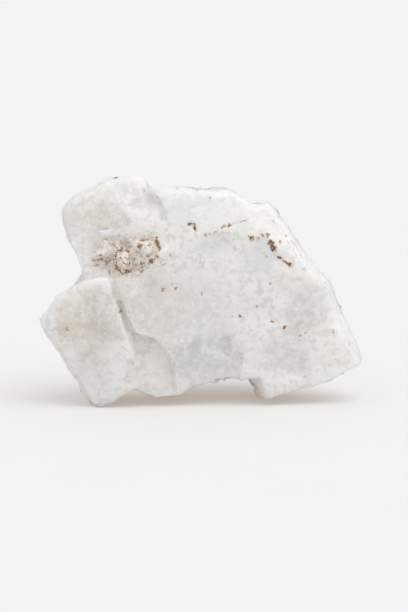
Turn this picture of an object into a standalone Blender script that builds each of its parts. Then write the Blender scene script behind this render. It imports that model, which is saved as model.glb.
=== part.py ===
"""Rough calcite: one broken lump of cleavable calcite, standing on three small flat spots.

Outlines are drawn in the front view, x to the right and z up, in millimetres.
y runs away from the viewer, and the stone stands on z = 0.
"""

import math
import random
from typing import NamedTuple

import bmesh
import bpy
from mathutils import Euler, Matrix, Vector, noise

MM = 0.001

# Driving sizes, in millimetres
STONE_WIDTH = 78.5
FACE_Y = -11.5
FACE_TURN = 0.10
FACE_LEAN = 0.08
FACE_MID_Z = 28.0
FLANK_DEPTH = 7.0
SHEET_COUNT = 3
SHEET_STEP = 0.95
SHEET_THICKNESS = 1.7
WINDOW_FLARE = 1.25
WINDOW_REACH = 6.0
CUT_WIDTH = 200.0
CUT_DEPTH = 20.0

# How the broken surface is made rough, in millimetres
GRID = 0.5
TRIANGLES = 7600
COARSE_GRAIN = 7.0
COARSE_ROUGHNESS = 0.55
FINE_GRAIN = 2.6
FINE_ROUGHNESS = 0.22
FACE_SHARE = 0.3
CRUMB_STRETCH = ((0.75, 1.3), (0.7, 1.0), (0.75, 1.2))
CRUMB_DENTS = (0.82, 1.16)
CRUMB_SIZES = (0.7, 1.25)
SEED = 11
WELD = 0.002

# The look of the stone seen plain
CALCITE_COLOUR = (0.74, 0.71, 0.67, 1.0)
CALCITE_ROUGHNESS = 0.4


class Plane(NamedTuple):
    """A cleavage plane: how far back it lies at a middle x and z, its turn and its lean."""

    y: float
    turn: float = 0.0
    lean: float = 0.0
    x_mid: float = 0.0
    z_mid: float = 0.0

    def depth(self, x, z):
        return self.y + self.turn * (x - self.x_mid) + self.lean * (z - self.z_mid)

    def back(self, distance):
        return self._replace(y=self.y + distance)


GREAT_FACE = Plane(FACE_Y, FACE_TURN, FACE_LEAN, 0.0, FACE_MID_Z)
HEAD_FACE = Plane(-11.0, -0.10, 0.04, -8.0, 42.0)
SHEET_FACE = Plane(-14.0, -0.08, -0.03, -28.0, 17.0)
BACK_FACE = Plane(13.0, 0.06, -0.10, 4.0, 26.0)
STEP_FACE = Plane(13.5, 0.06, -0.12, 4.0, 26.0)
STEP_RISE = 1.2
STEP_ROOT = Plane(4.0)

# The great front face, and the same outline where its flank ends, further back
FACE_OUTLINE = [
    (-20.4, 30.6), (-14.5, 32.5), (-8.0, 35.5), (-6.8, 42.5), (-8.2, 47.0), (-12.6, 52.6),
    (-8.6, 51.7), (3.6, 50.9), (7.4, 50.2), (9.6, 48.6), (12.4, 47.2), (16.0, 46.4),
    (17.3, 45.2), (18.6, 43.4), (20.6, 40.8), (23.4, 36.8), (27.6, 31.2), (30.3, 28.1),
    (33.5, 17.5), (36.6, 12.6), (38.6, 9.6), (34.6, 7.5), (28.9, 5.3), (24.2, 3.6),
    (18.9, 2.3), (16.2, 2.0), (14.6, 6.9), (9.0, 6.4), (4.1, 5.4), (-1.2, 4.0),
    (-5.6, 4.6), (-6.1, 8.5), (-7.3, 12.4), (-8.9, 15.8), (-11.1, 17.2), (-14.9, 18.1),
    (-17.7, 22.9),
]
FLANK_OUTLINE = [
    (-21.4, 30.4), (-15.5, 33.0), (-9.5, 37.0), (-6.8, 42.5), (-8.2, 47.0), (-13.0, 53.4),
    (-8.8, 52.4), (3.6, 52.1), (7.6, 51.3), (9.8, 49.6), (12.3, 48.2), (16.3, 48.5),
    (18.9, 46.6), (19.9, 44.3), (22.3, 42.0), (26.0, 36.0), (28.7, 32.2), (31.6, 29.4),
    (36.6, 17.6), (39.0, 12.3), (39.9, 9.8), (35.5, 6.6), (29.5, 4.2), (24.5, 2.4),
    (19.0, 1.0), (13.4, 0.6), (10.4, 6.4), (8.0, 6.6), (3.5, 6.0), (-1.2, 5.0),
    (-6.8, 4.4), (-7.4, 8.3), (-8.8, 11.8), (-10.4, 14.9), (-12.4, 16.0), (-16.4, 17.2),
    (-19.2, 22.6),
]

# The head, at the upper left: its front, its widest outline and its back
HEAD_FRONT = [
    (-32.4, 46.8), (-31.7, 43.4), (-30.7, 39.9), (-28.9, 35.4), (-27.5, 32.0), (-26.5, 28.5),
    (-15.0, 28.5), (-6.5, 34.0), (-6.3, 42.6), (-7.6, 47.0), (-10.6, 50.6), (-13.4, 53.0),
    (-16.0, 53.8), (-19.2, 53.9), (-22.4, 52.9), (-25.4, 51.2), (-29.6, 49.2),
]
HEAD_WIDEST = [
    (-33.6, 46.4), (-33.0, 43.0), (-32.0, 39.7), (-29.7, 35.8), (-27.9, 32.6), (-27.0, 28.5),
    (-15.0, 28.5), (-6.5, 34.0), (-6.3, 42.6), (-7.6, 47.0), (-10.4, 51.2), (-13.1, 53.9),
    (-15.7, 54.9), (-19.2, 55.0), (-22.5, 54.0), (-25.2, 52.3), (-30.1, 50.0),
]
HEAD_BACK = [
    (-29.5, 44.5), (-29.5, 41.5), (-28.5, 38.0), (-26.5, 34.0), (-25.5, 31.5), (-24.0, 28.5),
    (-15.0, 28.5), (-6.5, 34.0), (-6.3, 41.0), (-7.6, 45.0), (-9.4, 48.2), (-11.6, 50.0),
    (-15.0, 50.8), (-18.8, 50.9), (-22.0, 49.9), (-24.8, 48.2), (-27.8, 46.6),
]

# The block at the lower left: the front of its thin sheets, its widest outline and its back
SHEET_FRONT = [
    (-36.5, 19.8), (-36.8, 21.0), (-35.1, 23.9), (-34.2, 26.2), (-31.5, 28.2), (-27.5, 30.5),
    (-21.6, 31.4), (-18.6, 21.6), (-13.2, 5.6), (-18.5, 2.7), (-23.8, -0.5), (-25.8, 1.6),
    (-29.2, 7.5), (-33.4, 14.4),
]
LEFT_WIDEST = [
    (-38.4, 19.6), (-38.5, 21.2), (-35.7, 24.2), (-34.6, 26.6), (-31.9, 28.3), (-28.8, 29.8),
    (-21.7, 31.3), (-18.5, 21.5), (-13.5, 5.0), (-18.8, 2.2), (-24.3, -1.2), (-27.3, 0.3),
    (-30.7, 7.2), (-34.9, 13.6),
]
LEFT_BACK = [
    (-33.5, 20.5), (-33.0, 23.0), (-31.5, 25.0), (-30.5, 26.5), (-28.5, 27.5), (-26.5, 28.5),
    (-20.0, 30.0), (-16.0, 21.0), (-12.0, 7.0), (-17.0, 4.5), (-21.5, 2.5), (-24.0, 4.0),
    (-27.0, 9.5), (-30.5, 15.0),
]

# The core, which every block grows from: its front, its middle and its back
CORE_FRONT = [
    (-24.5, 30.0), (-21.0, 31.3), (-15.0, 32.8), (-8.5, 36.3), (-7.2, 44.0), (-5.5, 49.5),
    (8.0, 49.5), (17.0, 45.0), (27.5, 31.5), (34.0, 18.0), (37.5, 10.8), (24.0, 5.0),
    (16.5, 3.2), (14.0, 7.2), (4.0, 6.2), (-4.0, 3.0), (-10.5, 1.9), (-17.0, 4.5),
    (-22.0, 16.0), (-26.0, 26.0),
]
CORE_MIDDLE = [
    (-26.5, 30.5), (-28.5, 38.5), (-28.8, 45.0), (-21.0, 51.0), (-14.5, 51.8), (-5.0, 49.3),
    (8.5, 48.2), (18.0, 44.5), (29.0, 31.0), (35.5, 17.5), (38.5, 10.2), (25.0, 3.0),
    (15.5, 0.0), (9.5, 5.0), (3.0, 6.5), (-3.5, 2.6), (-9.0, 1.0), (-15.5, 2.0),
    (-24.0, 12.0), (-29.0, 24.0),
]
CORE_BACK = [
    (-22.0, 28.0), (-22.5, 35.0), (-21.5, 39.5), (-15.0, 43.0), (-9.0, 44.5), (0.0, 44.0),
    (9.0, 41.0), (17.0, 37.0), (24.5, 28.0), (29.0, 18.5), (30.0, 13.0), (22.0, 9.0),
    (14.0, 7.5), (8.5, 8.5), (2.5, 8.5), (-3.0, 6.0), (-8.5, 5.0), (-14.0, 8.0),
    (-20.0, 14.0), (-24.0, 22.0),
]

# The crumbled shelf between the head and the great face, and a chip that shows in the notch
SHELF = [(-27.4, 31.0), (-15.0, 31.0), (-6.5, 36.0), (-7.0, 42.5), (-16.0, 41.5), (-30.4, 39.8)]
NOTCH_CHIP = [(-31.6, 25.5), (-30.2, 29.4), (-28.2, 31.0), (-24.0, 31.0), (-24.0, 25.5)]

# The heel and the right foot, which carry the stone with the tip of the left block
HEEL_FRONT = [(-12.5, -1.5), (-4.5, -1.2), (-1.5, 8.0), (-6.0, 15.0), (-14.0, 11.0)]
HEEL_BACK = [(-10.5, -1.0), (-6.0, -0.5), (-3.0, 6.0), (-7.0, 12.0), (-12.0, 9.0)]
FOOT_FRONT = [(13.8, -1.2), (20.5, -1.4), (25.5, 4.0), (24.0, 9.0), (12.5, 8.0)]
FOOT_BACK = [(14.5, -0.6), (19.0, -1.0), (22.5, 3.5), (22.0, 9.0), (13.5, 8.0)]

# Blocks that grow out of the core: their sections from front to back
BLOCKS = {
    "head": [
        (HEAD_FRONT, HEAD_FACE),
        (HEAD_WIDEST, Plane(-5.0, -0.12, 0.0, -8.0, 42.0)),
        (HEAD_BACK, Plane(8.0, 0.25, -0.3, -18.0, 42.0)),
    ],
    "left_block": [(LEFT_WIDEST, SHEET_FACE.back(SHEET_STEP * SHEET_COUNT)), (LEFT_BACK, Plane(4.0))],
    "main_plate": [(FACE_OUTLINE, GREAT_FACE), (FLANK_OUTLINE, GREAT_FACE.back(FLANK_DEPTH))],
    "shelf": [(SHELF, Plane(-11.6, -0.06, 0.26, -17.0, 34.0)), (SHELF, Plane(-6.0))],
    "notch_chip": [(NOTCH_CHIP, Plane(-2.0)), (NOTCH_CHIP, Plane(4.0))],
    "heel": [
        (HEEL_FRONT, Plane(2.5, 0.1, -0.15, -8.0, 0.0)),
        (HEEL_BACK, Plane(11.0, 0.2, 0.2, -8.0, 5.0)),
    ],
    "foot": [
        (FOOT_FRONT, Plane(1.5, 0.2, -0.5, 17.0, 0.0)),
        (FOOT_BACK, Plane(8.0, -0.15, 0.2, 17.0, 0.0)),
    ],
}
CORE = [(CORE_FRONT, GREAT_FACE.back(1.8)), (CORE_MIDDLE, Plane(2.0, 0.1)), (CORE_BACK, BACK_FACE)]

# Thin steps left on the back by cleaving, each a little prouder than the last
BACK_STEPS = [
    [(-21.0, 20.0), (-9.0, 22.0), (-13.0, 40.0), (-21.0, 36.0)],
    [(-4.0, 12.0), (22.0, 13.0), (20.0, 27.0), (12.0, 36.0), (-8.0, 38.0)],
    [(2.0, 16.0), (17.0, 16.5), (14.0, 30.0), (-2.0, 31.0)],
]

# Windows cleaved into the front: outline, depth below the great face, turn and lean against it
WINDOWS = [
    ([(-5.7, 15.5), (0.0, 18.8), (7.2, 18.1), (9.8, 13.1), (9.1, 3.0), (-5.0, 3.0)], 0.8, 0.03, -0.12),
    ([(19.8, 27.9), (31.6, 28.1), (34.0, 18.9), (21.8, 18.0)], 0.35, 0.06, 0.0),
    ([(8.8, 34.4), (11.6, 39.2), (15.6, 39.8), (19.6, 34.1), (14.8, 31.5)], 0.25, 0.09, 0.10),
    ([(14.8, 14.5), (23.9, 16.2), (28.2, 10.9), (24.0, 6.5), (16.3, 7.5)], 0.15, 0.0, -0.10),
    ([(-3.2, 37.4), (0.7, 41.0), (6.2, 41.5), (5.2, 36.1)], 0.2, 0.08, 0.10),
    ([(-16.8, 11.2), (-13.6, 11.6), (-13.4, 5.8), (-17.0, 5.6)], 1.5, 0.0, 0.0),
    ([(-14.0, 29.0), (-5.0, 31.5), (-3.5, 24.5), (-10.5, 21.0)], 0.15, -0.08, 0.06),
    ([(9.0, 28.5), (16.5, 30.5), (18.0, 22.5), (12.0, 20.0)], 0.15, 0.07, -0.07),
]

# Facets that cleaving left on each block: a point of the plane and the way out of the stone
FACETS = {
    "main_plate": [
        ((14.0, -9.0, 42.0), (0.42, -0.75, 0.5)),
        ((-2.0, -10.4, 43.8), (0.12, -0.92, 0.36)),
    ],
    "head": [
        ((-19.0, -9.6, 47.8), (0.12, -0.8, 0.5)),
        ((-22.0, 7.4, 45.0), (-0.30, 0.80, 0.52)),
        ((-29.2, 2.5, 38.0), (-0.74, 0.60, -0.30)),
        ((-30.8, 2.0, 46.0), (-0.72, 0.50, 0.48)),
        ((-12.0, 5.5, 50.0), (0.28, 0.50, 0.82)),
    ],
    "left_block": [
        ((-34.6, -2.0, 21.5), (-0.70, 0.52, 0.49)),
        ((-29.6, -2.0, 8.0), (-0.66, 0.56, -0.50)),
        ((-26.0, 3.2, 18.0), (-0.40, 0.90, 0.16)),
    ],
    "core": [
        ((24.0, 10.0, 30.0), (0.78, 0.52, 0.34)),
        ((30.0, 6.0, 12.0), (0.62, 0.70, -0.35)),
        ((-21.0, 9.0, 38.0), (-0.62, 0.66, 0.42)),
        ((-24.5, 5.0, 18.0), (-0.72, 0.62, -0.30)),
        ((2.0, 9.0, 44.0), (0.10, 0.60, 0.79)),
        ((-8.0, 11.0, 9.0), (-0.20, 0.72, -0.66)),
        ((14.0, 11.0, 9.5), (0.25, 0.76, -0.60)),
    ],
}

# Lumps of crumbled stone: middle of the patch, its reach, the size of a lump and how many
CRUMBS = [
    ((-17.0, -11.6, 36.2), (9.0, 0.7, 2.2), 1.25, 26),
    ((-20.0, -10.7, 41.0), (3.4, 0.3, 0.7), 0.9, 6),
    ((-8.5, -11.2, 3.6), (4.6, 0.8, 1.2), 1.35, 9),
    ((1.0, -10.8, 5.6), (4.0, 0.6, 0.5), 0.9, 4),
    ((-11.5, -12.4, 8.6), (2.6, 0.4, 3.0), 1.0, 6),
    ((25.0, -8.8, 27.0), (4.0, 0.4, 4.0), 0.8, 5),
]
RING_GRAINS = [((-18.1, -12.3, 34.9), 1.9), ((-12.5, -11.8, 38.2), 2.1)]


def clear_scene():
    for obj in list(bpy.data.objects):
        bpy.data.objects.remove(obj)


def new_collection(name):
    collection = bpy.data.collections.new(name)
    bpy.context.scene.collection.children.link(collection)
    return collection


def new_object(name, bm, collection):
    """A mesh object from a bmesh in millimetres, with its faces pointing out."""
    bmesh.ops.recalc_face_normals(bm, faces=bm.faces[:])
    mesh = bpy.data.meshes.new(name)
    bm.to_mesh(mesh)
    bm.free()
    obj = bpy.data.objects.new(name, mesh)
    collection.objects.link(obj)
    return obj


def new_helper(name, bm, collection):
    """A block or cutter that a Boolean uses and that no render shows."""
    obj = new_object(name, bm, collection)
    obj.hide_render = True
    obj.display_type = "WIRE"
    return obj


def block(sections):
    """A loft through outlines of equal count, each lying in its own cleavage plane."""
    bm = bmesh.new()
    rings = [
        [bm.verts.new((x, plane.depth(x, z), z)) for x, z in outline]
        for outline, plane in sections
    ]
    for near, far in zip(rings, rings[1:]):
        for i in range(len(near)):
            j = (i + 1) % len(near)
            bm.faces.new((near[i], near[j], far[j], far[i]))
    bm.faces.new(rings[0])
    bm.faces.new(rings[-1])
    bmesh.ops.recalc_face_normals(bm, faces=bm.faces[:])
    return bm


def cleave(bm, point, normal):
    """Breaks off what lies beyond a plane, and closes the stone with a flat facet."""
    everything = bm.verts[:] + bm.edges[:] + bm.faces[:]
    cut = bmesh.ops.bisect_plane(
        bm, geom=everything, plane_co=point, plane_no=normal, clear_outer=True
    )
    rim = [item for item in cut["geom_cut"] if isinstance(item, bmesh.types.BMEdge)]
    bmesh.ops.edgeloop_fill(bm, edges=rim)


def cleaved(name, sections):
    """A block with all the facets that its name lists."""
    bm = block(sections)
    for point, normal in FACETS.get(name, []):
        cleave(bm, point, normal)
    return bm


def between(start, end, share):
    """The outline that lies part of the way from one outline to another."""
    return [
        (ax + (bx - ax) * share, az + (bz - az) * share)
        for (ax, az), (bx, bz) in zip(start, end)
    ]


def add_blocks(blocks):
    for name, sections in BLOCKS.items():
        new_helper(name, cleaved(name, sections), blocks)


def add_sheets(blocks):
    """The thin parallel sheets that the left block's front splits into."""
    for i in range(SHEET_COUNT):
        outline = between(SHEET_FRONT, LEFT_WIDEST, i / SHEET_COUNT)
        near = SHEET_FACE.back(SHEET_STEP * i)
        sheet = block([(outline, near), (outline, near.back(SHEET_THICKNESS))])
        new_helper(f"sheet_{i + 1}", sheet, blocks)


def add_back_steps(blocks):
    for i, outline in enumerate(BACK_STEPS):
        step = block([(outline, STEP_ROOT), (outline, STEP_FACE.back(STEP_RISE * i))])
        new_helper(f"back_step_{i + 1}", step, blocks)


def crumb(middle, size, draw):
    """One angular lump, turned at random."""
    bm = bmesh.new()
    bmesh.ops.create_icosphere(bm, subdivisions=1, radius=size)
    stretch = [draw.uniform(*limits) for limits in CRUMB_STRETCH]
    bmesh.ops.scale(bm, vec=stretch, verts=bm.verts[:])
    for vert in bm.verts:
        vert.co *= draw.uniform(*CRUMB_DENTS)
    turn = Euler([draw.uniform(0.0, math.tau) for _ in range(3)]).to_matrix()
    bmesh.ops.rotate(bm, cent=(0.0, 0.0, 0.0), matrix=turn, verts=bm.verts[:])
    bmesh.ops.translate(bm, vec=middle, verts=bm.verts[:])
    return bm


def add_crumbs(blocks, draw):
    for i, (middle, size) in enumerate(RING_GRAINS):
        new_helper(f"ring_grain_{i + 1}", crumb(middle, size, draw), blocks)
    for middle, reach, size, count in CRUMBS:
        for _ in range(count):
            place = Vector(m + r * draw.uniform(-1.0, 1.0) for m, r in zip(middle, reach))
            lump = crumb(place, size * draw.uniform(*CRUMB_SIZES), draw)
            new_helper("crumb", lump, blocks)


def add_windows(cutters):
    """Shallow cutters whose far side is the floor that each window leaves."""
    for outline, depth, turn, lean in WINDOWS:
        x_mid = sum(x for x, _ in outline) / len(outline)
        z_mid = sum(z for _, z in outline) / len(outline)
        y_mid = GREAT_FACE.back(depth).depth(x_mid, z_mid)
        floor = Plane(y_mid, FACE_TURN + turn, FACE_LEAN + lean, x_mid, z_mid)
        mouth = [
            (x_mid + WINDOW_FLARE * (x - x_mid), z_mid + WINDOW_FLARE * (z - z_mid))
            for x, z in outline
        ]
        window = block([(mouth, Plane(y_mid - WINDOW_REACH)), (outline, floor)])
        new_helper("window", window, cutters)


def add_boolean(base, operation, collection):
    """Joins the base with every solid of a collection, or cuts them all from it."""
    boolean = base.modifiers.new(operation.title(), "BOOLEAN")
    boolean.operation = operation
    boolean.solver = "EXACT"
    boolean.operand_type = "COLLECTION"
    boolean.collection = collection


def evaluated_bmesh(obj):
    """The object's mesh as its modifiers leave it, welded and in triangles."""
    bpy.context.view_layer.update()
    graph = bpy.context.evaluated_depsgraph_get()
    bm = bmesh.new()
    bm.from_object(obj, graph)
    tidy(bm)
    return bm


def tidy(bm):
    bmesh.ops.remove_doubles(bm, verts=bm.verts[:], dist=WELD)
    bmesh.ops.dissolve_degenerate(bm, edges=bm.edges[:], dist=WELD)
    bmesh.ops.triangulate(bm, faces=bm.faces[:])


def keep(obj, bm):
    """Gives a worked mesh back to its object, in place of its modifiers."""
    obj.modifiers.clear()
    bm.to_mesh(obj.data)
    bm.free()


def roughen(bm):
    """Moves each point in or out by two grains of noise, less on what faces the viewer."""
    bm.normal_update()
    for vert in bm.verts:
        facing = max(0.0, -vert.normal.y) ** 4
        share = 1.0 + (FACE_SHARE - 1.0) * facing
        rise = COARSE_ROUGHNESS * noise.noise(vert.co / COARSE_GRAIN)
        rise += FINE_ROUGHNESS * noise.noise(vert.co / FINE_GRAIN)
        vert.co += vert.normal * rise * share


def add_even_grid(obj):
    """Gives the whole surface one fine grid, which keeps the edges to within its own size."""
    remesh = obj.modifiers.new("Even grid", "REMESH")
    remesh.mode = "VOXEL"
    remesh.voxel_size = GRID


def add_thinning(obj):
    """Keeps the triangles where edges and lumps are, and few on the flat faces."""
    thin = obj.modifiers.new("Thinning", "DECIMATE")
    thin.decimate_type = "COLLAPSE"
    thin.use_collapse_triangulate = True
    thin.ratio = TRIANGLES / sum(len(face.vertices) - 2 for face in obj.data.polygons)


def add_ground_cut(cutters):
    """All that lies below the stone's standing plane."""
    bm = bmesh.new()
    bmesh.ops.create_cube(bm, size=1.0)
    bmesh.ops.scale(bm, vec=(CUT_WIDTH, CUT_WIDTH, CUT_DEPTH), verts=bm.verts[:])
    bmesh.ops.translate(bm, vec=(0.0, 0.0, -CUT_DEPTH / 2), verts=bm.verts[:])
    new_helper("ground_cut", bm, cutters)


def place(obj):
    """Brings the stone to its real width, centred over its origin, in metres."""
    xs, ys, zs = ([vert.co[axis] for vert in obj.data.vertices] for axis in range(3))
    scale = STONE_WIDTH / (max(xs) - min(xs))
    middle = Vector(((max(xs) + min(xs)) / 2, (max(ys) + min(ys)) / 2, min(zs)))
    obj.data.transform(Matrix.Scale(scale * MM, 4) @ Matrix.Translation(-middle))


def add_material(obj):
    material = bpy.data.materials.new("milky calcite")
    material.use_nodes = True
    shader = material.node_tree.nodes["Principled BSDF"]
    shader.inputs["Base Color"].default_value = CALCITE_COLOUR
    shader.inputs["Roughness"].default_value = CALCITE_ROUGHNESS
    shader.inputs["Metallic"].default_value = 0.0
    obj.data.materials.append(material)


def main():
    clear_scene()
    draw = random.Random(SEED)
    stone = new_collection("Rough calcite")
    blocks = new_collection("Blocks")
    cutters = new_collection("Cutters")
    ground = new_collection("Ground cut")

    add_blocks(blocks)
    add_sheets(blocks)
    add_back_steps(blocks)
    add_crumbs(blocks, draw)
    calcite = new_object("calcite", cleaved("core", CORE), stone)
    add_boolean(calcite, "UNION", blocks)
    keep(calcite, evaluated_bmesh(calcite))

    add_windows(cutters)
    add_boolean(calcite, "DIFFERENCE", cutters)
    add_even_grid(calcite)
    bm = evaluated_bmesh(calcite)
    roughen(bm)
    keep(calcite, bm)
    add_thinning(calcite)
    keep(calcite, evaluated_bmesh(calcite))

    add_ground_cut(ground)
    add_boolean(calcite, "DIFFERENCE", ground)
    keep(calcite, evaluated_bmesh(calcite))
    place(calcite)
    add_material(calcite)


if __name__ == "__main__":
    main()
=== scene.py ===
"""Look of a rough calcite: one milky lump with cleavage steps, crumbled grains and iron stains."""

import math

import bmesh
import bpy
import numpy as np
from bpy.props import FloatProperty, FloatVectorProperty, IntProperty, PointerProperty
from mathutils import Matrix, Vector, noise


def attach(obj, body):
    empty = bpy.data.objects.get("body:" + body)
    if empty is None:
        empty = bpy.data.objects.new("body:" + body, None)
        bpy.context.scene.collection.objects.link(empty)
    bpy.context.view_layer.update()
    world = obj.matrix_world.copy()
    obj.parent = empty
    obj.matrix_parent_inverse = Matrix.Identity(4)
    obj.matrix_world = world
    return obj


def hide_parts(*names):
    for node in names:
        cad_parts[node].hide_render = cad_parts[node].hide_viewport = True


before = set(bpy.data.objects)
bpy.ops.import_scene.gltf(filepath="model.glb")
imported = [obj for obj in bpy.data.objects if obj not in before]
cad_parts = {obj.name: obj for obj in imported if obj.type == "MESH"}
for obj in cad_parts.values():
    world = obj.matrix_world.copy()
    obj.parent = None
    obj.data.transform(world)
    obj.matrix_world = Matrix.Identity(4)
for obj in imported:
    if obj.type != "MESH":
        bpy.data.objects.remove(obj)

bl_info = {
    "name": "Rough Calcite",
    "version": (1, 0, 0),
    "blender": (4, 5, 0),
    "location": "3D View > Sidebar > Calcite",
    "description": "Dresses the solid of a rough calcite and sets it on a pale studio floor",
    "category": "Object",
}

NODE = "calcite"
PIECE = "calcite_stone"
MM = 0.001
WELD = 0.01 * MM
SLIVER = 0.02 * MM
SPLIT_PASSES = 8

# The three cleavage planes of the stone, as the ways out of them
FACE_OUT = Vector((0.10, -1.0, 0.08)).normalized()
FLANK_OUT = (Vector((0.855, 0.0, 0.52)) * 0.966 + FACE_OUT * 0.26).normalized()
TOP_OUT = (Vector((-0.33, 0.0, 0.94)) * 0.966 + FACE_OUT * 0.26).normalized()
CLEAVAGE = np.array([FACE_OUT, FLANK_OUT, TOP_OUT])

# The great front face in millimetres: its depth at x 0 and z 28, its turn and its lean
FACE_DEPTH = -12.9
FACE_TURN = 0.10
FACE_LEAN = 0.08
FACE_MID_Z = 28.1
FRONT_SKIN = 3.2

# Cracks in the front: their points in x and z, their width and depth in millimetres, and their stain
CRACKS = [
    ([(13.7, 41.7), (15.1, 40.0), (16.2, 38.9), (17.0, 37.5), (17.9, 36.0), (19.0, 34.8),
      (20.8, 33.7)], 0.30, 0.40, 0.75),
    ([(7.6, 37.7), (10.4, 38.5), (11.6, 40.0), (13.4, 40.3)], 0.26, 0.28, 0.22),
    ([(0.6, 40.9), (3.6, 41.9), (4.9, 43.0), (7.5, 43.5), (10.5, 44.5), (12.3, 45.1)], 0.22, 0.16, 0.38),
    ([(-3.5, 43.6), (-2.0, 43.8), (-1.8, 42.0)], 0.28, 0.30, 0.85),
    ([(12.3, 43.5), (13.6, 41.7)], 0.20, 0.15, 0.15),
    ([(-26.4, 35.1), (-24.0, 35.4), (-21.7, 35.2)], 0.34, 0.30, 0.9),
    ([(3.2, 6.3), (7.2, 6.7)], 0.24, 0.30, 0.45),
    ([(20.3, 18.5), (25.6, 18.4)], 0.22, 0.10, 0.25),
    ([(22.2, 32.7), (24.4, 32.7)], 0.22, 0.08, 0.28),
]

# Stained rims of the two large grains in the crumbled patch
GRAIN_RIMS = [
    ([(-15.1, 38.6), (-14.6, 39.8), (-13.2, 40.4), (-11.4, 40.2), (-10.6, 39.2), (-10.3, 37.6)],
     0.42, 0.12, 0.9),
    ([(-20.4, 36.4), (-20.7, 34.8), (-20.0, 33.2), (-18.5, 32.4), (-17.0, 32.7)], 0.42, 0.12, 0.85),
]

# Iron stains on the front: place in x and z, reach in millimetres and strength
STAINS = [
    (11.6, 40.3, 0.75, 0.9), (13.4, 40.2, 0.45, 0.7), (15.6, 40.9, 0.6, 0.9), (16.4, 38.9, 0.9, 1.0),
    (16.9, 37.6, 0.7, 0.9), (18.5, 39.2, 0.45, 0.7), (18.4, 35.4, 0.5, 0.8), (20.8, 33.7, 0.6, 0.95),
    (21.8, 34.2, 0.35, 0.4), (20.1, 40.5, 0.4, 0.4), (21.5, 39.2, 0.45, 0.35), (23.8, 35.9, 0.4, 0.4),
    (24.5, 35.1, 0.4, 0.45), (0.8, 41.0, 0.5, 0.6), (1.8, 41.4, 0.4, 0.55), (4.9, 43.0, 0.4, 0.45),
    (6.4, 43.3, 0.55, 0.75), (-9.4, 28.2, 0.5, 0.7), (-6.4, 28.5, 0.42, 0.6), (-7.6, 36.3, 0.38, 0.4),
    (-19.6, 23.0, 0.42, 0.6), (-17.1, 21.8, 0.35, 0.35), (-32.2, 19.0, 0.5, 0.35), (-7.3, 29.5, 0.5, 0.25),
    (8.8, 21.8, 0.5, 0.7), (7.1, 21.7, 0.35, 0.35), (16.8, 20.2, 0.38, 0.7), (15.9, 20.5, 0.3, 0.35),
    (19.5, 18.8, 0.6, 0.75), (22.8, 19.7, 0.3, 0.4), (23.5, 19.7, 0.3, 0.35), (24.6, 17.5, 0.4, 0.45),
    (23.2, 16.8, 0.42, 0.55), (23.2, 15.8, 0.35, 0.4), (31.4, 17.8, 0.5, 0.45), (13.0, 23.9, 0.5, 0.35),
    (34.3, 18.8, 0.4, 0.25), (35.2, 14.4, 0.35, 0.25), (38.3, 10.7, 0.45, 0.35), (31.9, 11.0, 0.4, 0.3),
    (-0.4, 27.2, 0.7, 0.3), (16.2, 29.4, 0.45, 0.35), (0.0, 34.5, 0.9, 0.2), (4.3, 51.3, 0.6, 0.25),
    (30.6, 28.6, 0.45, 0.5), (-10.8, 40.4, 0.4, 0.9), (-10.2, 38.2, 0.5, 0.75), (-10.7, 36.1, 0.55, 0.75),
    (-12.3, 35.0, 0.75, 0.95), (-12.9, 36.2, 0.5, 0.7), (-14.6, 34.7, 0.45, 0.6), (-15.0, 39.1, 0.4, 0.55),
    (-17.6, 34.3, 0.38, 0.7), (-17.1, 32.4, 0.38, 0.6), (-16.1, 35.6, 0.38, 0.8), (-19.4, 37.7, 0.8, 0.8),
    (-17.8, 40.3, 0.35, 0.5), (-25.3, 34.0, 0.6, 0.75), (-23.1, 34.1, 0.45, 0.6), (-24.7, 39.1, 0.5, 0.5),
    (-22.1, 32.2, 0.5, 0.5),
]
OCHRE_STREAKS = [(9.3, 12.6, 0.5, 0.32), (9.3, 11.5, 0.5, 0.36), (9.3, 10.5, 0.42, 0.28)]

# Broad zones of the stone seen from the front: middle in x and z, reach in x and z, strength
WARM_ZONES = [
    (-26.0, 44.0, 8.0, 9.0, 0.5), (-27.0, 20.0, 9.0, 9.0, 0.95), (-19.0, 24.0, 4.0, 10.0, 0.55),
    (-12.0, 24.0, 8.0, 8.0, 0.65), (-18.0, 36.0, 9.0, 6.0, 0.55), (23.0, 30.0, 9.0, 3.0, 0.35),
    (34.0, 11.0, 7.0, 4.0, 0.35), (-11.0, 12.0, 6.0, 8.0, 0.5), (26.0, 19.0, 8.0, 3.0, 0.3),
]
COOL_ZONES = [
    (-3.0, 48.0, 9.0, 5.0, 0.9), (14.0, 36.0, 6.0, 5.0, 1.0), (2.0, 38.5, 6.0, 3.5, 0.7),
    (5.0, 46.0, 8.0, 4.0, 0.5), (0.5, 12.0, 8.0, 7.0, 0.35),
]
CLEAR_ZONES = [
    (0.5, 12.5, 9.0, 6.5, 1.0), (25.5, 23.5, 6.5, 6.0, 0.75), (20.0, 12.5, 9.0, 5.0, 0.7),
    (-27.0, 9.0, 6.0, 6.0, 0.45), (-19.0, 51.0, 8.0, 5.0, 0.75), (14.0, 36.0, 5.0, 4.0, 0.4),
    (-27.0, 19.0, 7.0, 6.0, 0.7), (-12.0, 21.0, 5.0, 5.0, 0.4), (8.0, 24.0, 6.0, 4.0, 0.35),
    (-3.0, 47.5, 7.0, 3.5, 0.35), (-4.0, 23.5, 13.0, 9.0, 0.62),
]
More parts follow.
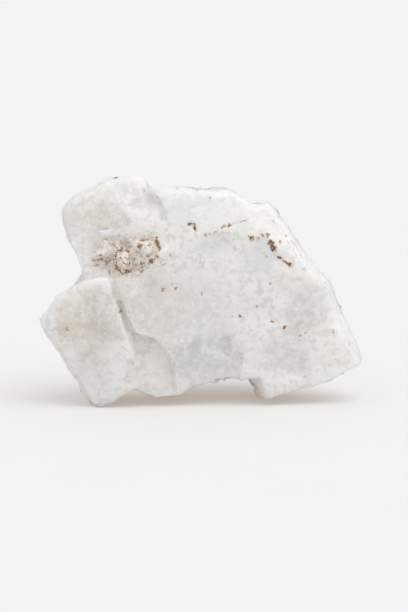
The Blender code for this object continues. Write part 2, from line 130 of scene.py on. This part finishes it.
# Pale patches are partly milky and bruise-pale stone and partly painted light: those on the upper right
# paint where the key light falls brightest, and the tall one on the thin right strip paints light shining
# through it from behind
WHITE_ZONES = [
    (-21.0, 41.5, 4.5, 1.3, 0.9), (13.0, 46.0, 9.0, 5.0, 0.55), (33.0, 22.0, 3.5, 11.0, 0.5),
    (-2.0, 28.0, 9.0, 7.0, 0.35), (-18.8, 34.9, 1.9, 1.9, 0.6), (-13.2, 38.3, 2.0, 1.9, 0.8),
    (18.0, 41.0, 5.0, 4.0, 0.45), (-9.0, 5.5, 6.0, 2.2, 0.5), (23.3, 31.0, 8.0, 3.0, 0.5),
]
CRUST_ZONES = [(-18.0, 36.3, 9.5, 5.0, 1.0), (17.5, 37.0, 4.5, 4.0, 0.35), (25.0, 17.5, 5.0, 2.5, 0.3)]
GRAIN_ZONES = [
    (-18.0, 36.3, 9.5, 5.5, 1.0), (-1.0, 28.0, 12.0, 8.0, 0.45), (-9.0, 5.5, 7.0, 3.0, 0.9),
    (26.0, 28.0, 6.0, 6.0, 0.4), (-28.0, 17.0, 7.0, 8.0, 0.3), (24.0, 17.0, 7.0, 4.0, 0.35),
]

# Painted highlights along the ledges of the front, lighter lines where their ridges catch the light: points
# in x and z, width and strength
RIDGE_HIGHLIGHTS = [
    ([(-20.7, 26.3), (-19.1, 20.5), (-17.6, 16.9), (-16.2, 12.2)], 0.5, 0.8),
    ([(-18.9, 24.3), (-17.2, 21.4), (-15.3, 18.3), (-12.9, 17.5), (-10.7, 16.6), (-9.6, 15.0), (-8.8, 14.0)],
     0.45, 0.75),
    ([(-17.3, 11.5), (-14.1, 11.7)], 0.4, 0.7),
    ([(-13.5, 10.7), (-10.3, 8.2), (-8.6, 5.6)], 0.6, 0.6),
    ([(-0.3, 14.4), (3.7, 12.9), (8.0, 10.5)], 0.5, 0.85),
    ([(8.0, 10.5), (9.6, 7.6)], 0.5, 0.5),
]


class CalciteShape(bpy.types.PropertyGroup):
    """Sizes of the stone's fine surface."""

    grid: FloatProperty(
        name="Grid", description="Longest edge on the sides and the back",
        default=0.90 * MM, min=0.2 * MM, precision=5, unit="LENGTH",
    )
    front_grid: FloatProperty(
        name="Front Grid", description="Longest edge on the front",
        default=0.60 * MM, min=0.2 * MM, precision=5, unit="LENGTH",
    )
    mark_grid: FloatProperty(
        name="Mark Grid", description="Longest edge at the stains and cracks",
        default=0.34 * MM, min=0.1 * MM, precision=5, unit="LENGTH",
    )
    softening: IntProperty(
        name="Softening", description="Passes that even out the flat faces", default=14, min=0
    )
    plate_size: FloatProperty(
        name="Plate Size", description="Breadth of the thin plates on the cleavage faces",
        default=6.0 * MM, precision=4, unit="LENGTH",
    )
    plate_step: FloatProperty(
        name="Plate Step", description="Height of the steps between plates on the front",
        default=0.16 * MM, precision=5, unit="LENGTH",
    )
    sheet_thickness: FloatProperty(
        name="Sheet Thickness", description="Thickness of the sheets that show on the sides",
        default=1.3 * MM, precision=4, unit="LENGTH",
    )
    sheet_step: FloatProperty(
        name="Sheet Step", description="How far the sheets stand out over one another",
        default=0.30 * MM, precision=5, unit="LENGTH",
    )
    grain_size: FloatProperty(
        name="Grain Size", description="Size of the grains in the crumbled patches",
        default=1.1 * MM, precision=5, unit="LENGTH",
    )
    grain_rise: FloatProperty(
        name="Grain Rise", description="Height of the grains in the crumbled patches",
        default=0.20 * MM, precision=5, unit="LENGTH",
    )
    roughness_rise: FloatProperty(
        name="Roughness", description="Height of the fine roughness all over",
        default=0.07 * MM, precision=5, unit="LENGTH",
    )
    chip_depth: FloatProperty(
        name="Chip Depth", description="Depth of the chips along the edges",
        default=0.25 * MM, precision=5, unit="LENGTH",
    )


class CalciteColours(bpy.types.PropertyGroup):
    """Colours and light scatter of the stone."""

    milk: FloatVectorProperty(
        name="Milk", description="White of the bruised and cloudy parts",
        subtype="COLOR", size=4, default=(0.89, 0.88, 0.86, 1.0), min=0.0, max=1.0,
    )
    glass: FloatVectorProperty(
        name="Glass", description="Grey of the clearer windows",
        subtype="COLOR", size=4, default=(0.60, 0.60, 0.59, 1.0), min=0.0, max=1.0,
    )
    beige: FloatVectorProperty(
        name="Beige", description="Warm tint of the left side",
        subtype="COLOR", size=4, default=(0.69, 0.62, 0.555, 1.0), min=0.0, max=1.0,
    )
    lavender: FloatVectorProperty(
        name="Lavender", description="Cool tint of the smooth upper faces",
        subtype="COLOR", size=4, default=(0.76, 0.765, 0.79, 1.0), min=0.0, max=1.0,
    )
    ochre: FloatVectorProperty(
        name="Ochre", description="Thin iron stain",
        subtype="COLOR", size=4, default=(0.56, 0.33, 0.16, 1.0), min=0.0, max=1.0,
    )
    rust: FloatVectorProperty(
        name="Rust", description="Thick iron stain",
        subtype="COLOR", size=4, default=(0.13, 0.07, 0.03, 1.0), min=0.0, max=1.0,
    )
    scatter_depth: FloatProperty(
        name="Scatter Depth", description="How far light spreads inside the stone",
        default=9.0 * MM, precision=4, unit="LENGTH",
    )


class CalciteStage(bpy.types.PropertyGroup):
    """Floor, light and camera."""

    floor_width: FloatProperty(
        name="Floor Width", description="Width of the floor", default=5.0, unit="LENGTH"
    )
    backdrop: FloatVectorProperty(
        name="Backdrop", description="Pale grey of the surroundings",
        subtype="COLOR", size=4, default=(0.90, 0.90, 0.90, 1.0), min=0.0, max=1.0,
    )
    key_share: FloatProperty(
        name="Key Share", description="Part of the floor's light that comes from the soft key light",
        default=0.30, min=0.0, max=1.0, subtype="FACTOR",
    )
    # Painted light: the floor's own warm glow, which lightens and warms the stone's shadow
    floor_glow: FloatVectorProperty(
        name="Floor Glow", description="Light that reaches the floor through the stone and the sheet",
        subtype="COLOR", size=4, default=(0.30, 0.235, 0.19, 1.0), min=0.0, max=1.0,
    )
    key_height: FloatProperty(
        name="Key Height", description="Height of the key light above the horizon",
        default=math.radians(66.0), subtype="ANGLE", unit="ROTATION",
    )
    key_side: FloatProperty(
        name="Key Side", description="Turn of the key light to the right of the camera",
        default=math.radians(50.0), subtype="ANGLE", unit="ROTATION",
    )
    key_softness: FloatProperty(
        name="Key Softness", description="Angle that the key light fills",
        default=math.radians(50.0), subtype="ANGLE", unit="ROTATION",
    )
    lens: FloatProperty(
        name="Lens", description="Focal length of the camera", default=100.0, subtype="DISTANCE_CAMERA",
        unit="CAMERA",
    )
    camera_distance: FloatProperty(
        name="Camera Distance", description="Distance from the camera to what it looks at",
        default=416.34 * MM, precision=4, unit="LENGTH",
    )
    camera_height: FloatProperty(
        name="Camera Height", description="Angle of the camera above the horizon",
        default=math.radians(8.0), subtype="ANGLE", unit="ROTATION",
    )
    camera_target: FloatVectorProperty(
        name="Camera Target", description="Point that the camera looks at",
        size=3, subtype="XYZ", unit="LENGTH", default=(0.334 * MM, -1.408 * MM, 22.597 * MM),
    )


def smoothstep(low, high, values):
    share = np.clip((values - low) / (high - low), 0.0, 1.0)
    return share * share * (3.0 - 2.0 * share)


def read(items, name, width, kind=np.float32):
    values = np.empty(len(items) * width, kind)
    items.foreach_get(name, values)
    return values.reshape(-1, width)


def sampled(function, points):
    """The value of a noise function at each point."""
    return np.array([function(Vector(point)) for point in points])


class Surface:
    """The points of a mesh in millimetres, with its edges and outward directions."""

    def __init__(self, mesh):
        self.mesh = mesh
        self.points = read(mesh.vertices, "co", 3).astype(float) / MM
        self.edges = read(mesh.edges, "vertices", 2, np.int32)
        self.counts = np.bincount(self.edges.ravel(), minlength=len(self.points))[:, None]

    def normals(self):
        """Outward directions for the points as they are now."""
        self.write()
        return read(self.mesh.vertices, "normal", 3).astype(float)

    def around(self, values):
        """The mean of each point's neighbours."""
        near, far = self.edges.T
        sums = [
            np.bincount(near, column[far], len(values)) + np.bincount(far, column[near], len(values))
            for column in values.T
        ]
        return np.array(sums).T / self.counts

    def write(self):
        self.mesh.vertices.foreach_set("co", (self.points * MM).astype(np.float32).ravel())
        self.mesh.update()

    def sharpness(self, passes=4):
        """0 on flat stone and 1 on an edge, from how the outward directions differ nearby."""
        spread = self.normals()
        for _ in range(passes):
            spread = (spread + self.around(spread)) / 2
        return smoothstep(0.004, 0.03, 1.0 - np.linalg.norm(spread, axis=1))

    def bulge(self, passes=2):
        """How far each point stands out from its neighbours, in millimetres."""
        normals = self.normals()
        out = ((self.points - self.around(self.points)) * normals).sum(axis=1)
        for _ in range(passes):
            out = (out + self.around(out[:, None])[:, 0]) / 2
        return out


def front_skin(points):
    """1 on the skin of the front, and 0 deeper in."""
    x, y, z = points.T
    face = FACE_DEPTH + FACE_TURN * x + FACE_LEAN * (z - FACE_MID_Z)
    return 1.0 - smoothstep(FRONT_SKIN - 1.0, FRONT_SKIN, y - face)


def zone(points, zones, warp):
    """Soft patches that lie at the same x and z all the way through the stone."""
    level = np.zeros(len(points))
    for x, z, reach_x, reach_z, strength in zones:
        away = np.hypot((points[:, 0] - x) / reach_x, (points[:, 2] - z) / reach_z)
        level = np.maximum(level, strength * (1.0 - smoothstep(0.45, 1.25, away + warp)))
    return level


def line_distance(points, line):
    """Distance in the front view from each point to a broken line."""
    flat = points[:, (0, 2)]
    nearest = np.full(len(points), np.inf)
    for start, end in zip(np.array(line), np.array(line)[1:]):
        along = end - start
        share = np.clip((flat - start) @ along / (along @ along), 0.0, 1.0)
        away = np.linalg.norm(flat - start - share[:, None] * along, axis=1)
        nearest = np.minimum(nearest, away)
    return nearest


def spot_distance(points, x, z):
    return np.hypot(points[:, 0] - x, points[:, 2] - z)


def welded_copy(source):
    """A copy of the solid's mesh with its loose triangles joined."""
    bm = bmesh.new()
    bm.from_mesh(source.data)
    bmesh.ops.remove_doubles(bm, verts=bm.verts[:], dist=WELD)
    mesh = bpy.data.meshes.new(PIECE)
    bm.to_mesh(mesh)
    bm.free()
    return mesh


def split_edges(obj, length_limit):
    """Splits the edges of a triangle mesh until each is shorter than the limit for its middle."""
    bm = bmesh.new()
    bm.from_mesh(obj.data)
    for _ in range(SPLIT_PASSES):
        ends = np.array([(*edge.verts[0].co, *edge.verts[1].co) for edge in bm.edges]) / MM
        start, end = ends[:, :3], ends[:, 3:]
        too_long = np.linalg.norm(end - start, axis=1) > length_limit((start + end) / 2)
        if not too_long.any():
            break
        edges = [edge for edge, split in zip(bm.edges, too_long) if split]
        bmesh.ops.subdivide_edges(bm, edges=edges, cuts=1)
        cut = [face for face in bm.faces if len(face.verts) > 3]
        bmesh.ops.triangulate(bm, faces=cut, quad_method="BEAUTY", ngon_method="BEAUTY")
    bm.to_mesh(obj.data)
    bm.free()


def join_slivers(obj):
    """Closes up edges and triangles too small to see."""
    bm = bmesh.new()
    bm.from_mesh(obj.data)
    bmesh.ops.dissolve_degenerate(bm, dist=SLIVER, edges=bm.edges[:])
    bmesh.ops.triangulate(bm, faces=bm.faces[:])
    bm.to_mesh(obj.data)
    bm.free()
    obj.data.validate()


def soften_flats(surface, passes):
    """Evens out the flat faces and leaves the edges between them crisp."""
    free = 1.0 - surface.sharpness()[:, None]
    for _ in range(passes):
        surface.points += (surface.around(surface.points) - surface.points) * 0.5 * free


def near_marks(points):
    """True where stains and cracks need a finer grid."""
    near = zone(points, CRUST_ZONES[:1], 0.0) > 0.2
    for line, width, *_ in CRACKS + GRAIN_RIMS:
        near |= line_distance(points, line) < width + 0.5
    for x, z, reach, _ in STAINS:
        near |= spot_distance(points, x, z) < reach + 0.4
    return near & (front_skin(points) > 0.5)


def add_plates(surface, shape):
    """Thin cleavage plates, each at its own height and tilt, on every face."""
    size, step = shape.plate_size / MM, shape.plate_step / MM
    normals = surface.normals()
    facing = np.abs(normals @ CLEAVAGE[0])
    frontal = np.clip(normals @ CLEAVAGE[0], 0.0, 1.0) ** 2
    height = step * (1.0 + 1.6 * (1.0 - frontal))
    rise = np.zeros(len(surface.points))
    skewed = surface.points @ CLEAVAGE.T / size
    for i, place in enumerate(skewed):
        _, seeds = noise.voronoi(Vector(place), distance_metric="CHEBYCHEV")
        level = noise.cell(seeds[0] * 5.3)
        tilt = (noise.cell_vector(seeds[0] * 3.1) - Vector((0.5, 0.5, 0.5))) @ (Vector(place) - seeds[0])
        rise[i] = level - 0.5 + 0.9 * tilt
    surface.points += normals * (rise * height * (0.35 + 0.65 * facing))[:, None]


def add_sheets(surface, shape):
    """The edges of thin sheets, which show as steps on the sides of the stone."""
    thickness, step = shape.sheet_thickness / MM, shape.sheet_step / MM
    normals = surface.normals()
    depth = surface.points @ CLEAVAGE[0]
    side = smoothstep(0.25, 0.8, 1.0 - (normals @ CLEAVAGE[0]) ** 2)
    bend = sampled(noise.noise, surface.points / 11.0)
    layer = np.floor(depth / thickness + 0.8 * bend)
    across = surface.points / 4.5
    across[:, 1] = layer * 7.7
    ragged = sampled(noise.noise, across)
    level = np.array([noise.cell(Vector((3.1 * k, 0.5, 0.5))) for k in layer]) - 0.5
    surface.points += normals * ((level + 1.1 * ragged) * step * side)[:, None]


def add_grains(surface, shape, warp):
    """Angular grains in the crumbled patches, and a fine roughness all over."""
    size, rise = shape.grain_size / MM, shape.grain_rise / MM
    normals = surface.normals()
    amount = zone(surface.points, GRAIN_ZONES, warp) * front_skin(surface.points)
    hidden = smoothstep(-0.2, 0.5, sampled(noise.noise, surface.points / 9.0))
    hidden *= 1.0 - front_skin(surface.points)
    amount = np.maximum(amount, 0.6 * hidden)
    height = np.zeros(len(surface.points))
    for i in np.flatnonzero(amount > 0.02):
        away, seeds = noise.voronoi(Vector(surface.points[i] / size))
        height[i] = 0.55 - away[0] + 0.5 * (noise.cell(seeds[0] * 4.7) - 0.5)
    fine = sampled(noise.noise, surface.points / 0.9) + 0.6 * sampled(noise.noise, surface.points / 2.3)
    total = height * amount * rise + fine * shape.roughness_rise / MM
    surface.points += normals * total[:, None]


def add_chips(surface, shape):
    """Small bites out of the convex edges."""
    normals = surface.normals()
    convex = smoothstep(0.015, 0.07, surface.bulge())
    bites = smoothstep(-0.1, 0.5, sampled(noise.noise, surface.points / 1.7))
    surface.points -= normals * (convex * bites * shape.chip_depth / MM)[:, None]


def cut_cracks(surface):
    """Narrow grooves along the cracks of the front."""
    normals = surface.normals()
    front = front_skin(surface.points)
    wander = 0.25 * sampled(noise.noise, surface.points / 1.1)
    for line, width, depth, _ in CRACKS + GRAIN_RIMS:
        away = line_distance(surface.points, line) + wander
        groove = np.exp(-(away / width) ** 2) * front
        surface.points -= normals * (groove * depth)[:, None]


def stain_levels(surface):
    """Iron stain: spots, cracks and grain rims, broken up into uneven dots."""
    points = surface.points
    uneven = sampled(noise.noise, points / 0.45)
    dotted = smoothstep(-0.25, 0.35, sampled(noise.noise, points / 1.3 + 9.0))
    level = np.zeros(len(points))
    for line, width, _, strength in CRACKS + GRAIN_RIMS:
        away = line_distance(points, line) + 0.2 * uneven
        level = np.maximum(level, strength * dotted * (1.0 - smoothstep(0.5 * width, 1.6 * width, away)))
    for x, z, reach, strength in STAINS + OCHRE_STREAKS:
        away = spot_distance(points, x, z) + 0.9 * reach * uneven
        level = np.maximum(level, strength * (1.0 - smoothstep(0.35 * reach, 1.1 * reach, away)))
    return level * front_skin(surface.points)


def stray_stains(surface):
    """A few stained specks on the sides and the back, where no picture tells their places."""
    points = surface.points
    patch = smoothstep(0.22, 0.5, sampled(noise.noise, points / 8.0 + 40.0))
    speck = smoothstep(0.30, 0.55, sampled(noise.noise, points / 1.2 + 20.0))
    return 0.4 * patch * speck * (1.0 - front_skin(surface.points))


def paint(surface):
    """Writes how warm, cool, clear, pale, stained and crusted the stone is at each point; its paleness is
    partly bruise and milky stone and partly painted highlight on ridges, edges and the lit upper right.
    """
    points = surface.points
    warp = 0.35 * sampled(noise.noise, points / 5.0) + 0.15 * sampled(noise.noise, points / 1.8)
    front = front_skin(surface.points)
    # Painted highlight: lighter lines along the ledge ridges, where they catch the light
    ridge_highlights = np.zeros(len(points))
    wander = 0.3 * sampled(noise.noise, points / 1.5)
    for line, width, strength in RIDGE_HIGHLIGHTS:
        away = line_distance(points, line) + wander
        ridge_highlights = np.maximum(ridge_highlights, strength * (1.0 - smoothstep(0.3 * width, 1.5 * width, away)) * front)
    # Painted highlight: convex edges are painted lighter, as if every edge caught the light
    edge = smoothstep(0.008, 0.05, surface.bulge(3))
    levels = {
        "warm": zone(points, WARM_ZONES, warp),
        "cool": zone(points, COOL_ZONES, warp),
        "clear": zone(points, CLEAR_ZONES, warp),
        "bruise_and_highlight": np.maximum.reduce([zone(points, WHITE_ZONES, warp), ridge_highlights, 0.7 * edge]),
        "stain": np.maximum(stain_levels(surface), stray_stains(surface)),
        "crust": zone(points, CRUST_ZONES, warp) * front,
    }
    for name, values in levels.items():
        layer = surface.mesh.attributes.new(name, "FLOAT", "POINT")
        layer.data.foreach_set("value", values.astype(np.float32))


class Nodes:
    """Adds the nodes of one material and joins them up."""

    def __init__(self, name):
        self.material = bpy.data.materials.new(name)
        self.material.use_nodes = True
        self.tree = self.material.node_tree
        self.shader = self.tree.nodes["Principled BSDF"]

    def put(self, socket, value):
        if isinstance(value, bpy.types.NodeSocket):
            self.tree.links.new(value, socket)
        else:
            socket.default_value = value

    def add(self, kind, inputs, **settings):
        node = self.tree.nodes.new(kind)
        for name, value in settings.items():
            setattr(node, name, value)
        for key, value in inputs.items():
            self.put(node.inputs[key], value)
        return node

    def attribute(self, name):
        return self.add("ShaderNodeAttribute", {}, attribute_name=name).outputs["Fac"]

    def noise(self, place, size, detail=4.0, roughness=0.55, distortion=0.0):
        """Noise whose lumps have a size in metres."""
        inputs = {
            "Vector": place, "Scale": 1.0 / size, "Detail": detail,
            "Roughness": roughness, "Distortion": distortion,
        }
        return self.add("ShaderNodeTexNoise", inputs).outputs["Fac"]

    def step(self, value, low, high, start=0.0, end=1.0):
        """A smooth rise from start to end as a value goes from low to high."""
        inputs = {"Value": value, "From Min": low, "From Max": high, "To Min": start, "To Max": end}
        return self.add("ShaderNodeMapRange", inputs, interpolation_type="SMOOTHSTEP").outputs["Result"]

    def math(self, operation, first, second=0.0, third=0.0):
        return self.add("ShaderNodeMath", {0: first, 1: second, 2: third}, operation=operation).outputs[0]

    def product(self, first, *others):
        for other in others:
            first = self.math("MULTIPLY", first, other)
        return first

    def mix(self, share, first, second, blend="MIX"):
        node = self.add("ShaderNodeMix", {0: share}, data_type="RGBA", blend_type=blend)
        self.put(node.inputs[6], first)
        self.put(node.inputs[7], second)
        return node.outputs[2]

    def turned(self, place, turn, stretch):
        """Coordinates turned and stretched, for patterns that run along a cleavage."""
        inputs = {"Vector": place, "Rotation": turn, "Scale": stretch}
        return self.add("ShaderNodeMapping", inputs).outputs["Vector"]


def calcite_material(colours):
    nodes = Nodes("milky calcite")
    place = nodes.add("ShaderNodeTexCoord", {}).outputs["Object"]
    warm, cool, clear, bruise_and_highlight, stain, crust = (
        nodes.attribute(name) for name in ("warm", "cool", "clear", "bruise_and_highlight", "stain", "crust")
    )

    # Clouds inside the stone, from broad ones to fine mottling
    clouds = nodes.noise(place, 7.0 * MM, 3.0)
    mottle = nodes.noise(place, 1.8 * MM, 5.0, 0.62)
    fine = nodes.noise(place, 0.55 * MM, 3.0, 0.6)
    cloudy = nodes.step(clouds, 0.35, 0.68)
    glassy = nodes.product(clear, nodes.step(mottle, 0.68, 0.38, 0.35, 1.0))
    murky = nodes.math("MAXIMUM", glassy, nodes.product(nodes.step(mottle, 0.52, 0.38), 0.55))
    colour = nodes.mix(nodes.product(murky, 0.95), colours.milk, colours.glass)
    colour = nodes.mix(nodes.product(warm, nodes.step(mottle, 0.30, 0.65, 1.0, 0.45)), colour, colours.beige)
    colour = nodes.mix(nodes.product(cool, 0.75), colour, colours.lavender)
    colour = nodes.mix(nodes.product(cloudy, 0.18), colour, colours.milk)

    # Veils along the cleavage, and bright specks where small planes catch the light
    steep = nodes.turned(place, (0.0, math.radians(-59.0), 0.0), (1.0, 1.0, 0.22))
    slack = nodes.turned(place, (0.0, math.radians(-19.0), 0.0), (0.25, 1.0, 1.0))
    streaks = nodes.noise(steep, 1.6 * MM, 3.0)
    layers = nodes.noise(slack, 1.4 * MM, 3.0)
    veils = nodes.math("MAXIMUM", nodes.step(streaks, 0.58, 0.72), nodes.step(layers, 0.60, 0.74))
    colour = nodes.mix(nodes.product(veils, 0.55), colour, colours.milk)
    cells = nodes.add("ShaderNodeTexVoronoi", {"Vector": place, "Scale": 1.0 / (1.0 * MM)})
    draw = nodes.add("ShaderNodeSeparateColor", {"Color": cells.outputs["Color"]}).outputs[0]
    picked = nodes.step(draw, 0.80, 0.86)
    specks = nodes.product(nodes.step(cells.outputs["Distance"], 0.34, 0.18), picked)
    colour = nodes.mix(nodes.product(specks, 0.55), colour, (0.90, 0.89, 0.87, 1.0))
    flecks = nodes.noise(place, 0.9 * MM, 2.5, 0.65)
    colour = nodes.mix(nodes.product(nodes.step(flecks, 0.55, 0.68), 0.40), colour, (0.92, 0.91, 0.89, 1.0))
    colour = nodes.mix(nodes.product(nodes.step(flecks, 0.45, 0.30), 0.20), colour, colours.glass)
    # Lighter where the stone is bruise-pale and milky, and painted highlight along ridges and edges and
    # where the key light falls on the upper right
    whitened = nodes.product(bruise_and_highlight, nodes.step(fine, 0.30, 0.60, 0.55, 1.0))
    colour = nodes.mix(whitened, colour, (0.88, 0.87, 0.85, 1.0))

    # Iron stain: thin ochre first, then rust where it is thick
    edges = nodes.add(
        "ShaderNodeTexVoronoi", {"Vector": place, "Scale": 1.0 / (1.5 * MM)}, feature="DISTANCE_TO_EDGE"
    )
    rims = nodes.product(
        nodes.step(edges.outputs["Distance"], 0.13, 0.02), nodes.step(mottle, 0.44, 0.62), crust
    )
    dust = nodes.product(crust, nodes.step(fine, 0.48, 0.70), 0.35)
    iron = nodes.math("MAXIMUM", nodes.math("MAXIMUM", stain, rims), dust)
    broken = nodes.product(iron, nodes.step(fine, 0.32, 0.58, 0.35, 1.3))
    colour = nodes.mix(nodes.step(broken, 0.06, 0.45, 0.0, 0.85), colour, colours.ochre)
    colour = nodes.mix(nodes.step(broken, 0.45, 0.95, 0.0, 0.9), colour, colours.rust)
    nodes.put(nodes.shader.inputs["Base Color"], colour)

    # Cleavage faces are glossy; the pale mark, partly bruise and partly painted highlight, and stained stone
    # are dull
    gloss = nodes.step(mottle, 0.35, 0.65, 0.30, 0.50)
    dull = nodes.math("MAXIMUM", bruise_and_highlight, nodes.step(broken, 0.1, 0.6))
    nodes.put(nodes.shader.inputs["Roughness"], nodes.math("ADD", gloss, nodes.product(dull, 0.22)))
    nodes.shader.inputs["IOR"].default_value = 1.58
    nodes.shader.inputs["Subsurface Weight"].default_value = 1.0
    nodes.shader.inputs["Transmission Weight"].default_value = 0.22
    nodes.shader.inputs["Subsurface Radius"].default_value = (1.0, 0.92, 0.84)
    nodes.shader.inputs["Subsurface Scale"].default_value = colours.scatter_depth

    # The finest relief
    pits = nodes.noise(place, 0.35 * MM, 4.0, 0.6)
    bump = nodes.add("ShaderNodeBump", {"Height": pits, "Strength": 0.35, "Distance": 0.12 * MM})
    nodes.put(nodes.shader.inputs["Normal"], bump.outputs["Normal"])
    return nodes.material


def floor_material(stage):
    """A pale floor that sends back as much light as the surroundings give, and glows with a warm painted
    light that lightens the stone's shadow.
    """
    nodes = Nodes("pale floor")
    grain = nodes.noise(nodes.add("ShaderNodeTexCoord", {}).outputs["Object"], 30.0 * MM, 2.0)
    glow = np.array(stage.floor_glow[:3])
    plain = (np.array(stage.backdrop[:3]) - glow) / np.array(stage.backdrop[:3]) * (1.0 - stage.key_share)
    colour = nodes.mix(nodes.step(grain, 0.3, 0.7), (*plain * 0.995, 1.0), (*plain * 1.005, 1.0))
    nodes.put(nodes.shader.inputs["Base Color"], colour)
    # Painted light: the floor glows evenly and warm, standing in for light that passes through the stone
    # into its shadow
    nodes.shader.inputs["Emission Color"].default_value = stage.floor_glow
    nodes.shader.inputs["Emission Strength"].default_value = 1.0
    nodes.shader.inputs["Roughness"].default_value = 0.9
    nodes.shader.inputs["Specular IOR Level"].default_value = 0.0
    return nodes.material


class CALCITE_OT_stone(bpy.types.Operator):
    """Make the stone's fine surface over its solid"""

    bl_idname = "calcite.stone"
    bl_label = "Stone"

    def execute(self, context):
        shape = context.scene.calcite_shape
        obj = bpy.data.objects.new(PIECE, welded_copy(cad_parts[NODE]))
        context.scene.collection.objects.link(obj)
        grid, front_grid, mark_grid = (
            length / MM for length in (shape.grid, shape.front_grid, shape.mark_grid)
        )
        split_edges(obj, lambda points: np.where(front_skin(points) > 0.2, front_grid, grid))
        if not obj.data.polygons:
            raise RuntimeError("the solid left no surface")
        surface = Surface(obj.data)
        soften_flats(surface, shape.softening)
        surface.write()
        split_edges(obj, lambda points: np.where(near_marks(points), mark_grid, 2.0 * grid))

        surface = Surface(obj.data)
        warp = 0.3 * sampled(noise.noise, surface.points / 4.0)
        add_plates(surface, shape)
        add_sheets(surface, shape)
        add_grains(surface, shape, warp)
        cut_cracks(surface)
        add_chips(surface, shape)
        surface.points[:, 2] = np.maximum(surface.points[:, 2], 0.0)
        surface.write()
        join_slivers(obj)
        paint(Surface(obj.data))
        obj.data.polygons.foreach_set("use_smooth", [True] * len(obj.data.polygons))
        obj.data.materials.clear()
        obj.data.materials.append(calcite_material(context.scene.calcite_colours))
        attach(obj, "root")
        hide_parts(NODE)
        return {"FINISHED"}


class CALCITE_OT_stage(bpy.types.Operator):
    """Make the floor, the light and the camera"""

    bl_idname = "calcite.stage"
    bl_label = "Stage"

    def execute(self, context):
        stage = context.scene.calcite_stage
        bm = bmesh.new()
        bmesh.ops.create_grid(bm, x_segments=1, y_segments=1, size=stage.floor_width / 2)
        mesh = bpy.data.meshes.new("floor")
        bm.to_mesh(mesh)
        bm.free()
        mesh.materials.append(floor_material(stage))
        floor = bpy.data.objects.new("floor", mesh)
        context.scene.collection.objects.link(floor)
        self.add_light(context.scene, stage)
        self.add_camera(context.scene, stage)
        return {"FINISHED"}

    def add_light(self, scene, stage):
        world = bpy.data.worlds.new("pale studio")
        world.use_nodes = True
        world.node_tree.nodes["Background"].inputs["Color"].default_value = stage.backdrop
        scene.world = world
        scene.view_settings.view_transform = "Standard"

        key = bpy.data.lights.new("key", "SUN")
        key.angle = stage.key_softness
        floor_share = stage.key_share / (1.0 - stage.key_share)
        key.energy = math.pi * stage.backdrop[0] * floor_share / math.sin(stage.key_height)
        lamp = bpy.data.objects.new("key", key)
        side, height = stage.key_side, stage.key_height
        towards = Vector((
            math.sin(side) * math.cos(height), -math.cos(side) * math.cos(height), math.sin(height)
        ))
        lamp.rotation_euler = towards.to_track_quat("Z", "Y").to_euler()
        scene.collection.objects.link(lamp)

    def add_camera(self, scene, stage):
        data = bpy.data.cameras.new("camera")
        data.lens = stage.lens
        data.clip_start = 0.01
        camera = bpy.data.objects.new("camera", data)
        height = stage.camera_height
        back = Vector((0.0, -math.cos(height), math.sin(height)))
        camera.location = Vector(stage.camera_target) + back * stage.camera_distance
        camera.rotation_euler = back.to_track_quat("Z", "Y").to_euler()
        scene.collection.objects.link(camera)
        scene.camera = camera


class CALCITE_PT_sidebar(bpy.types.Panel):
    """Sizes, colours and stage of the rough calcite"""

    bl_idname = "CALCITE_PT_sidebar"
    bl_label = "Rough Calcite"
    bl_space_type = "VIEW_3D"
    bl_region_type = "UI"
    bl_category = "Calcite"

    def draw(self, context):
        for operator, settings in (
            (CALCITE_OT_stone, context.scene.calcite_shape),
            (None, context.scene.calcite_colours),
            (CALCITE_OT_stage, context.scene.calcite_stage),
        ):
            box = self.layout.box()
            for name in settings.__annotations__:
                box.prop(settings, name)
            if operator:
                box.operator(operator.bl_idname)


CLASSES = (
    CalciteShape, CalciteColours, CalciteStage, CALCITE_OT_stone, CALCITE_OT_stage, CALCITE_PT_sidebar
)


def register():
    for cls in CLASSES:
        bpy.utils.register_class(cls)
    bpy.types.Scene.calcite_shape = PointerProperty(type=CalciteShape)
    bpy.types.Scene.calcite_colours = PointerProperty(type=CalciteColours)
    bpy.types.Scene.calcite_stage = PointerProperty(type=CalciteStage)


def unregister():
    del bpy.types.Scene.calcite_stage
    del bpy.types.Scene.calcite_colours
    del bpy.types.Scene.calcite_shape
    for cls in reversed(CLASSES):
        bpy.utils.unregister_class(cls)


def main():
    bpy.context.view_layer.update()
    register()
    bpy.ops.calcite.stone()
    bpy.ops.calcite.stage()


if __name__ == "__main__":
    main()
